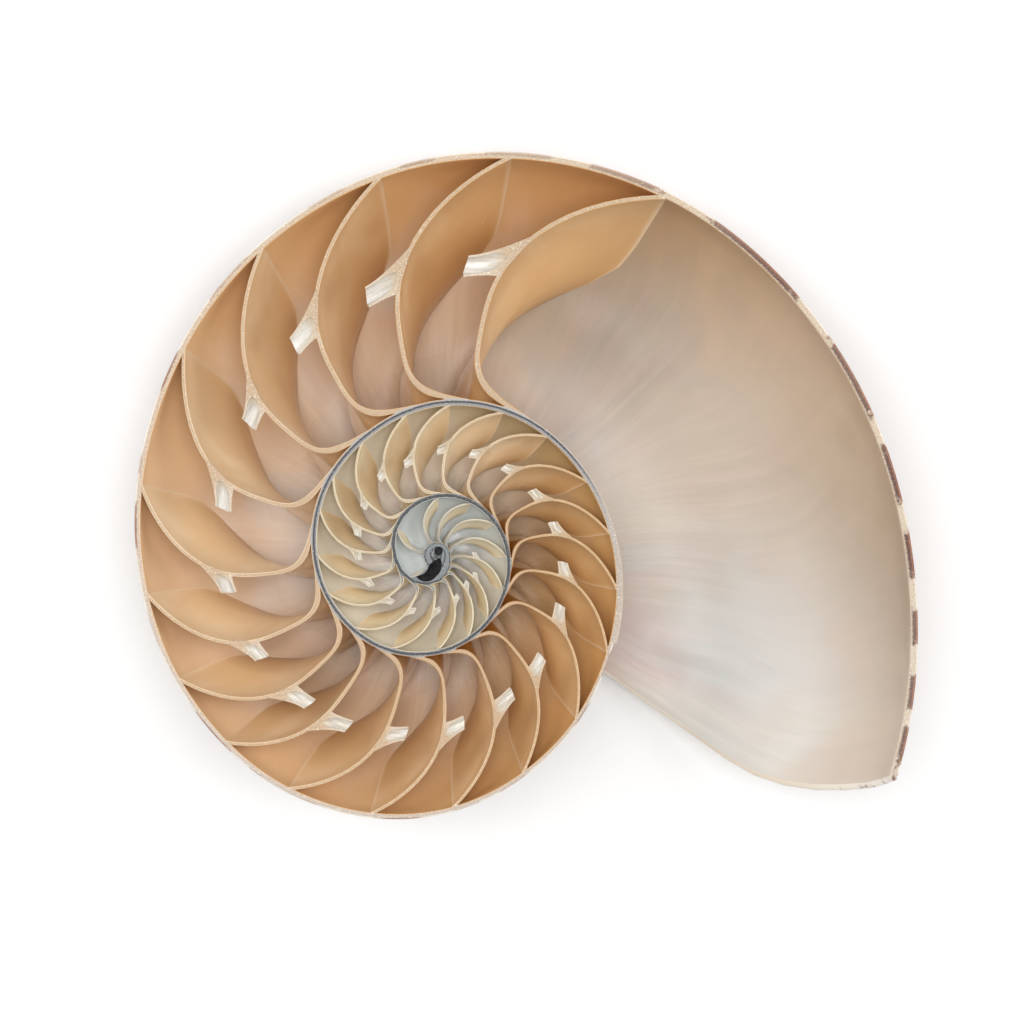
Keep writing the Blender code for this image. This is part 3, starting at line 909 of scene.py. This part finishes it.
def make_pearl():
    """Painted sheen of nacre: pink, green and silvery bands of painted reflection along the streaks, and
    silvery patches of painted highlight.
    """
    inputs = (("Colour", "Color", (0.5, 0.5, 0.5)), ("Strength", "Float", 0.5), ("Silver", "Float", 0.5))
    tree, given, out = new_effect("painted pearl sheen", inputs, (("Colour", "Color"),))
    streaks = effect(tree, "growth streaks")
    hue = times_plus(tree, streaks["Fine"], 0.35, streaks["Broad"])
    tint = colour_by(tree, hue, (
        (0.42, 0.82, 0.93, 0.97), (0.54, 0.97, 1.0, 0.94), (0.63, 1.03, 0.98, 0.94),
        (0.72, 1.05, 0.92, 0.92), (0.82, 0.91, 0.93, 0.95), (0.92, 1.0, 0.98, 0.92),
    ))
    colour = blend(tree, given["Strength"], given["Colour"], tint, "MULTIPLY")
    # Painted sheen: the colour made lighter and darker in bands along the fine streaks.
    light = ease(tree, streaks["Fine"], 0.35, 0.7, 0.88, 1.10)
    shine = blend(tree, given["Strength"], (1.0, 1.0, 1.0), spot(tree, light, light, light))
    colour = tinted(tree, colour, shine)
    # Painted highlight: silvery patches where the clouds are high.
    patches = coil_clouds(tree, 0.07, 1.0, 0.4)
    patches = times_plus(tree, streaks["Fine"], 0.15, patches)
    painted_highlight = times(tree, ease(tree, patches, 0.52, 0.82), given["Silver"])
    tree.links.new(blend(tree, painted_highlight, colour, (0.80, 0.77, 0.74)), out["Colour"])


def make_specks():
    """Scattered specks: a mask that is 1 in each speck."""
    inputs = (("Spacing", "Float", 1.5), ("Size", "Float", 0.1), ("Share", "Float", 0.3))
    tree, given, out = new_effect("specks", inputs, (("Mask", "Float"),))
    cells = tree.nodes.new("ShaderNodeTexVoronoi")
    feed(tree, cells.inputs["Vector"], reading(tree, "coil", "Vector"))
    feed(tree, cells.inputs["Scale"], maths(tree, "DIVIDE", 1.0, given["Spacing"]))
    chosen = maths(tree, "LESS_THAN", cells.outputs["Color"], given["Share"])
    near = maths(tree, "DIVIDE", cells.outputs["Distance"], given["Size"])
    tree.links.new(times(tree, chosen, ease(tree, near, 1.0, 0.5)), out["Mask"])


def make_stripes():
    """Rusty stripes of the outer shell, which end on its rim as dashes."""
    inputs = (("Wander", "Float", 0.1), ("Ragged", "Float", 0.1))
    tree, given, out = new_effect("rusty stripes", inputs, (("Mask", "Float"),))
    wander = centred(tree, coil_clouds(tree, 0.07, 2.0))
    ragged = centred(tree, coil_clouds(tree, 0.55, 3.0, 0.65))
    phase = times_plus(tree, wander, given["Wander"], reading(tree, "stripe"))
    phase = times_plus(tree, ragged, given["Ragged"], phase)
    wave = maths(tree, "PINGPONG", maths(tree, "SUBTRACT", phase, 0.25), 0.5)
    tree.links.new(ease(tree, wave, 0.30, 0.20), out["Mask"])


# The finishes themselves, their colours by growth angle

SEPTUM_COLOURS = (
    (40, 0.70, 0.44, 0.21), (95, 0.76, 0.51, 0.27), (160, 0.86, 0.68, 0.46),
    (215, 0.84, 0.63, 0.40), (285, 0.75, 0.51, 0.28), (390, 0.74, 0.50, 0.26),
    (435, 0.88, 0.73, 0.52), (480, 0.81, 0.68, 0.47), (690, 0.78, 0.69, 0.50),
    (760, 0.70, 0.64, 0.50),
)
WALL_COLOURS = (
    (40, 0.57, 0.30, 0.12), (110, 0.74, 0.46, 0.22), (180, 0.77, 0.54, 0.33),
    (290, 0.65, 0.39, 0.17), (360, 0.60, 0.36, 0.15), (410, 0.46, 0.33, 0.17),
    (480, 0.66, 0.59, 0.46), (700, 0.54, 0.50, 0.41), (770, 0.45, 0.48, 0.47),
)
FLANK_COLOURS = (
    (40, 0.66, 0.48, 0.32), (110, 0.80, 0.61, 0.44), (180, 0.70, 0.53, 0.39),
    (290, 0.68, 0.47, 0.29), (360, 0.50, 0.32, 0.16), (420, 0.66, 0.56, 0.44),
    (480, 0.74, 0.66, 0.57), (700, 0.52, 0.50, 0.46), (770, 0.48, 0.51, 0.51),
)
EDGE_COLOURS = (
    (40, 0.45, 0.32, 0.20), (200, 0.47, 0.32, 0.19), (390, 0.44, 0.30, 0.17),
    (470, 0.46, 0.38, 0.26), (700, 0.44, 0.39, 0.29), (760, 0.42, 0.41, 0.34),
)
NECK_COLOURS = (
    (40, 0.52, 0.47, 0.40), (200, 0.52, 0.47, 0.40), (390, 0.48, 0.40, 0.29),
    (470, 0.47, 0.40, 0.28), (760, 0.45, 0.41, 0.31),
)
# Colours of the cut wall and of the lining outside it, by turns of the spiral
CUT_WALL = (
    (-0.1, 0.53, 0.45, 0.35), (0.3, 0.52, 0.39, 0.27), (0.6, 0.50, 0.41, 0.34),
    (0.95, 0.42, 0.34, 0.27), (1.04, 0.36, 0.32, 0.29), (1.15, 0.25, 0.24, 0.245),
    (1.9, 0.19, 0.19, 0.195), (2.1, 0.14, 0.148, 0.155), (2.7, 0.15, 0.17, 0.18),
)
CUT_LINING = (
    (0.9, 0.46, 0.39, 0.33), (1.15, 0.40, 0.37, 0.36), (1.8, 0.27, 0.26, 0.255),
    (2.1, 0.16, 0.165, 0.17), (2.7, 0.16, 0.18, 0.19),
)


def finish_tree(slot):
    """Node tree of the material in one of the shell's slots."""
    material = bpy.data.materials.new(FINISH_NAMES[slot])
    material.use_nodes = True
    return material.node_tree


def dress(tree, colour, roughness, coat, coat_roughness, height=None, distance=0.0):
    """Set a finish's colour, its polish, and its bump from a height over a distance in metres."""
    shader = tree.nodes["Principled BSDF"].inputs
    names = ("Base Color", "Roughness", "Coat Weight", "Coat Roughness")
    for name, value in zip(names, (colour, roughness, coat, coat_roughness)):
        feed(tree, shader[name], value)
    if height is not None:
        bump = tree.nodes.new("ShaderNodeBump")
        bump.inputs["Distance"].default_value = distance
        feed(tree, bump.inputs["Height"], height)
        feed(tree, shader["Normal"], bump.outputs["Normal"])


def specked(tree, colour, form, strength, tint):
    """Colour with specks over it, of a spacing, a size and a share in all places."""
    spacing, size, share = form
    specks = effect(tree, "specks", Spacing=spacing, Size=size, Share=share)["Mask"]
    return blend(tree, times(tree, specks, strength), colour, tint)


def in_degrees(tree):
    return times(tree, reading(tree, "growth"), WHORL)


def centred(tree, value):
    return maths(tree, "SUBTRACT", value, 0.5)


def by_growth(tree, stops):
    return colour_by(tree, in_degrees(tree), stops)


def painted_crevice_shade(tree, colour, across):
    """Painted shade: deeper orange brown where the closed chambers narrow onto the whorl inside."""
    growth = in_degrees(tree)
    turn = times(tree, ease(tree, growth, 190.0, 290.0), ease(tree, growth, 450.0, 370.0))
    share = times(tree, ease(tree, across, 0.55, 0.08, 0.0, 0.9), maths(tree, "ADD", turn, 0.12))
    return blend(tree, share, colour, (0.50, 0.29, 0.11), "MULTIPLY")


def finish_chamber_walls():
    tree = finish_tree(WALL)
    near = by_growth(tree, WALL_COLOURS)
    deep = by_growth(tree, FLANK_COLOURS)
    streaks = effect(tree, "growth streaks")
    section = times_plus(tree, centred(tree, streaks["Cloud"]), 0.25, reading(tree, "section"))
    colour = blend(tree, ease(tree, section, 0.06, 0.36), near, deep)
    # Painted sheen and painted highlight, both stronger away from the saw cut, the highlight most in the
    # younger chambers.
    strength = ease(tree, section, 0.1, 0.5, 0.1, 0.5)
    young = ease(tree, in_degrees(tree), 360.0, 240.0, 0.15, 1.0)
    painted_highlight = times(tree, ease(tree, section, 0.12, 0.4, 0.0, 0.55), young)
    colour = effect(tree, "painted pearl sheen", Colour=colour, Strength=strength, Silver=painted_highlight)["Colour"]
    colour = painted_crevice_shade(tree, colour, reading(tree, "across"))
    colour = specked(tree, colour, (2.6, 0.06, 0.25), 0.5, (0.85, 0.78, 0.66))
    roughness = ease(tree, section, 0.1, 0.5, 0.40, 0.24)
    dress(tree, colour, roughness, ease(tree, section, 0.1, 0.5, 0.15, 0.6), 0.12, streaks["Fine"], 0.00008)


def finish_living_chamber():
    tree = finish_tree(LIVING)
    streaks = effect(tree, "growth streaks")
    cloud = centred(tree, streaks["Cloud"])
    growth = times_plus(tree, cloud, 30.0, in_degrees(tree))
    section = times_plus(tree, cloud, 0.2, reading(tree, "section"))
    # Colours by growth; two of them stand for light: the pale silvery grey of the middle band from growth
    # -35 to -18 is a painted highlight, and the dark tan of the outer band near growth 0 is painted shade.
    outer = colour_by(tree, growth, (
        (-35, 0.58, 0.48, 0.39), (-20, 0.56, 0.46, 0.37), (0, 0.43, 0.33, 0.24),
        (30, 0.51, 0.37, 0.25), (60, 0.42, 0.26, 0.13),
    ))
    middle = colour_by(tree, growth, (
        (-35, 0.66, 0.63, 0.59), (-18, 0.66, 0.65, 0.62), (5, 0.57, 0.50, 0.43),
        (30, 0.51, 0.43, 0.35), (52, 0.41, 0.34, 0.28), (70, 0.43, 0.33, 0.24),
    ))
    inner = colour_by(tree, growth, (
        (-35, 0.52, 0.38, 0.32), (-20, 0.50, 0.35, 0.295), (0, 0.62, 0.55, 0.48),
        (25, 0.62, 0.55, 0.48), (50, 0.50, 0.42, 0.36), (70, 0.52, 0.38, 0.27),
    ))
    colour = blend(tree, ease(tree, section, 0.05, 0.31), outer, middle)
    colour = blend(tree, ease(tree, section, 0.30, 0.58), colour, inner)
    # Painted sheen in clouds, stronger away from the saw cut, with a faint painted highlight.
    strength = ease(tree, section, 0.05, 0.45, 0.1, 0.5)
    strength = times(tree, strength, ease(tree, coil_clouds(tree, 0.05, 2.0), 0.35, 0.65, 0.4, 1.4))
    painted_highlight = ease(tree, section, 0.15, 0.4, 0.0, 0.15)
    colour = effect(tree, "painted pearl sheen", Colour=colour, Strength=strength, Silver=painted_highlight)["Colour"]
    roughness = ease(tree, section, 0.05, 0.4, 0.42, 0.34)
    dress(tree, colour, roughness, 0.3, 0.32, streaks["Fine"], 0.0001)


def finish_septum(slot, shade):
    tree = finish_tree(slot)
    bright = by_growth(tree, SEPTUM_COLOURS)
    dark = tinted(tree, bright, (0.87, 0.77, 0.64))
    across = reading(tree, "across")
    section = reading(tree, "section")
    streaks = effect(tree, "growth streaks")
    cloud = centred(tree, streaks["Cloud"])
    # Painted shade: darker towards the septum's outer end, below the saw cut; the veins further on take the
    # same darker tone at random.
    shade_to_outer_end = ease(tree, times_plus(tree, cloud, 0.3, across), 0.5, 0.95)
    shade_below_cut = ease(tree, times_plus(tree, cloud, 0.3, section), 0.03, 0.2)
    colour = blend(tree, times(tree, shade_to_outer_end, shade_below_cut), bright, dark)
    vein_place = spot(
        tree, times(tree, across, 3.0), times(tree, section, 5.0),
        times(tree, in_degrees(tree), 0.05)
    )
    veins = clouds(tree, vein_place, 1.3, 2.0, 0.5, 0.8)
    colour = blend(tree, ease(tree, veins, 0.36, 0.64, 0.0, 0.6), colour, dark)
    far = ease(tree, times_plus(tree, cloud, 0.3, section), 0.2, 0.42, 0.0, 0.5)
    colour = blend(tree, far, colour, by_growth(tree, FLANK_COLOURS))
    # Painted highlight: a thin light cream line along both ends of the septum, where a rounded joint with
    # the wall would catch the light.
    foot = maths(tree, "ABSOLUTE", centred(tree, across))
    colour = blend(tree, ease(tree, foot, 0.490, 0.499, 0.0, 0.5), colour, (0.80, 0.66, 0.48))
    colour = painted_crevice_shade(tree, colour, across)
    specks = effect(tree, "specks", Spacing=1.7, Size=0.10, Share=0.3)["Mask"]
    specks = times(tree, specks, ease(tree, coil_clouds(tree, 0.16, 1.0), 0.42, 0.6, 0.15, 0.9))
    colour = blend(tree, specks, colour, (0.9, 0.8, 0.62))
    # Painted shade: the whole colour darkened by the shade factor, 0.95 on the septa's back faces.
    colour = tinted(tree, colour, (shade, shade, shade))
    roughness = ease(tree, veins, 0.3, 0.7, 0.28, 0.42)
    dress(tree, colour, roughness, 0.35, 0.14, times_plus(tree, specks, 0.6, veins), 0.00012)


def finish_sawn_edge():
    """Cream section of the walls and septa, with the slate line between the whorls."""
    tree = finish_tree(SAWN)
    place = tree.nodes.new("ShaderNodeSeparateXYZ")
    feed(tree, place.inputs[0], reading(tree, "coil", "Vector"))
    x, y = place.outputs[0], place.outputs[1]
    distance = maths(tree, "SQRT", times_plus(tree, x, x, times(tree, y, y)))
    angle = maths(tree, "DIVIDE", maths(tree, "ARCTAN2", y, x), 2.0 * math.pi)
    spiral = reading(tree, "spiral")
    whorls = maths(tree, "SUBTRACT", spiral, angle)
    beyond = maths(tree, "SUBTRACT", whorls, maths(tree, "ROUND", whorls))
    depth = times(tree, times(tree, beyond, distance), WHORL_CLOSING)
    off_line = maths(tree, "ABSOLUTE", depth)
    wall = times_plus(tree, distance, WALL_SHARE, WALL_BASE)
    in_wall = ease(tree, maths(tree, "DIVIDE", off_line, wall), 1.2, 0.8)
    grain = coil_clouds(tree, 2.6, 3.0, 0.75)

    lining = colour_by(tree, spiral, CUT_LINING)
    cut_wall = colour_by(tree, spiral, CUT_WALL)
    band = blend(tree, ease(tree, depth, -0.55, -0.1), lining, cut_wall)
    heart = ease(tree, spiral, 2.3, 2.5)
    edge = by_growth(tree, EDGE_COLOURS)
    colour = blend(tree, maths(tree, "MAXIMUM", in_wall, heart), edge, band)
    width = ease(tree, spiral, 1.8, 2.1, 0.21, 0.24)
    frayed = times_plus(tree, centred(tree, grain), 0.2, off_line)
    line = ease(tree, maths(tree, "DIVIDE", frayed, width), 1.4, 0.6)
    line = times(tree, line, ease(tree, spiral, 1.02, 1.12))
    colour = blend(tree, line, colour, (0.018, 0.022, 0.028))

    colour = blend(tree, times(tree, reading(tree, "neck"), 0.45), colour, (0.66, 0.60, 0.50))
    dull = ease(tree, spiral, 1.0, 1.1, 1.0, 0.35)
    light_grain = times(tree, ease(tree, grain, 0.50, 0.62, 0.0, 0.4), dull)
    colour = blend(tree, light_grain, colour, (0.78, 0.70, 0.58))
    dark_grain = times(tree, ease(tree, grain, 0.47, 0.38, 0.0, 0.35), dull)
    colour = blend(tree, dark_grain, colour, (0.30, 0.21, 0.13))

    colour = specked(tree, colour, (0.8, 0.24, 0.3), times(tree, dull, 0.6), (0.88, 0.82, 0.70))

    stripes = effect(tree, "rusty stripes", Wander=0.1, Ragged=0.5)["Mask"]
    reach = ease(tree, spiral, 0.1, 0.4, 1.25, 0.5)
    rim = maths(tree, "DIVIDE", times_plus(tree, centred(tree, grain), 0.5, off_line), reach)
    rim = times(tree, ease(tree, rim, 1.2, 0.75), maths(tree, "LESS_THAN", whorls, 0.5))
    rim = times(tree, rim, reading(tree, "rust"))
    brown = blend(tree, ease(tree, depth, 0.2, 0.6), (0.29, 0.12, 0.055), (0.075, 0.022, 0.014))
    brown = blend(tree, ease(tree, grain, 0.48, 0.62, 0.0, 0.3), brown, (0.42, 0.27, 0.20))
    colour = blend(tree, times(tree, rim, stripes), colour, brown)

    dress(tree, colour, 0.55, 0.08, 0.3, grain, 0.0001)


def finish_outer_shell():
    """Cream outside with growth lines, rusty stripes and the pearly callus at the navel."""
    tree = finish_tree(OUTSIDE)
    section = reading(tree, "section")
    streaks = effect(tree, "growth streaks")
    cream = blend(tree, ease(tree, streaks["Broad"], 0.35, 0.65), (0.70, 0.61, 0.50), (0.78, 0.73, 0.65))
    cream = blend(tree, ease(tree, streaks["Fine"], 0.45, 0.7, 0.0, 0.3), cream, (0.62, 0.50, 0.38))
    wander = ease(tree, section, 0.0, 0.3, 0.1, 0.9)
    stripes = effect(tree, "rusty stripes", Wander=wander, Ragged=0.3)["Mask"]
    fading = ease(tree, times_plus(tree, streaks["Cloud"], 0.3, section), 0.98, 0.62)
    rust_share = maths(tree, "MAXIMUM", reading(tree, "rust"), ease(tree, section, 0.0, 0.12))
    fading = times(tree, fading, rust_share)
    rust = blend(tree, ease(tree, streaks["Fine"], 0.35, 0.65), (0.34, 0.12, 0.045), (0.17, 0.06, 0.035))
    colour = blend(tree, times(tree, stripes, fading), cream, rust)
    callus = ease(tree, times_plus(tree, streaks["Cloud"], 0.12, section), 0.9, 1.0)
    colour = blend(tree, callus, colour, (0.80, 0.76, 0.70))
    colour = specked(tree, colour, (2.2, 0.1, 0.2), 0.4, (0.45, 0.34, 0.24))
    roughness = ease(tree, streaks["Fine"], 0.3, 0.7, 0.38, 0.5)
    dress(tree, colour, roughness, 0.12, 0.25, streaks["Fine"], 0.0003)


def finish_necks():
    """Pearly necks with fine lines along them."""
    tree = finish_tree(NECK)
    colour = by_growth(tree, NECK_COLOURS)
    across = times(tree, reading(tree, "across"), 50.0)
    along = times(tree, reading(tree, "growth"), 25.0)
    lines = clouds(tree, spot(tree, across, along), 1.0, 3.0, 0.6)
    colour = blend(tree, ease(tree, lines, 0.35, 0.65), colour, (0.72, 0.69, 0.64))
    grain = coil_clouds(tree, 1.6, 3.0, 0.6)
    colour = blend(tree, ease(tree, grain, 0.48, 0.7, 0.0, 0.5), colour, (0.60, 0.48, 0.34))
    colour = blend(tree, ease(tree, reading(tree, "neck"), 0.75, 0.2, 0.0, 0.6), colour, (0.66, 0.54, 0.38))
    dress(tree, colour, 0.38, 0.25, 0.2, lines, 0.00015)


def finish_pocket():
    # Painted shadow: the pocket and the cord hole are near black inside, with a faint random grain.
    tree = finish_tree(POCKET)
    grain = coil_clouds(tree, 1.4, 3.0, 0.6)
    colour = blend(tree, ease(tree, grain, 0.4, 0.7), (0.006, 0.006, 0.007), (0.03, 0.028, 0.026))
    dress(tree, colour, 0.8, 0.0, 0.5)


def make_finishes():
    for make_effect in (make_streaks, make_pearl, make_specks, make_stripes):
        make_effect()
    finish_outer_shell()
    finish_chamber_walls()
    finish_living_chamber()
    finish_septum(SEPTUM_FRONT, 1.0)
    finish_septum(SEPTUM_BACK, 0.95)
    finish_sawn_edge()
    finish_necks()
    finish_pocket()


# Floor, light and camera

def make_floor():
    """Plain pale floor under the shell."""
    bpy.ops.object.select_all(action="DESELECT")
    bpy.ops.mesh.primitive_plane_add(size=FLOOR_SIZE)
    floor = bpy.context.active_object
    floor.name = "floor"
    paint = bpy.data.materials.new("floor paint")
    paint.use_nodes = True
    shader = paint.node_tree.nodes["Principled BSDF"].inputs
    shader["Base Color"].default_value = FLOOR_COLOUR
    shader["Roughness"].default_value = 1.0
    shader["Specular IOR Level"].default_value = 0.0
    floor.data.materials.append(paint)


def make_light():
    """Pale surroundings and soft lamps above the shell."""
    world = bpy.data.worlds.new("pale studio")
    world.use_nodes = True
    backdrop = world.node_tree.nodes["Background"].inputs
    backdrop["Color"].default_value = WORLD_COLOUR
    backdrop["Strength"].default_value = WORLD_STRENGTH
    bpy.context.scene.world = world
    for name, place, size, power in LAMPS:
        bpy.ops.object.light_add(type="AREA", location=place)
        lamp = bpy.context.active_object
        lamp.name = name
        lamp.data.shape = "DISK"
        lamp.data.size = size
        lamp.data.energy = power
        lamp.rotation_euler = Vector(place).to_track_quat("Z", "Y").to_euler()
        lamp.visible_camera = False


def make_camera():
    """Camera that looks along the saw cut's normal, as the photograph does."""
    above = Vector((*VIEW_CENTRE, VIEW_WIDTH * LENS / SENSOR))
    bpy.ops.object.camera_add()
    camera = bpy.context.active_object
    camera.name = "camera"
    camera.data.lens = LENS
    camera.data.sensor_width = SENSOR
    camera.data.clip_start = CLIP_START
    camera.matrix_world = resting_place() @ Matrix.Translation(above * MM)
    bpy.context.scene.camera = camera
    bpy.context.scene.view_settings.view_transform = "Standard"


make_finishes()
shell = make_shell()
measure_surface(shell)
lay_down(shell)
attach(shell, "root")
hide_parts("shell_half")
make_floor()
make_light()
make_camera()
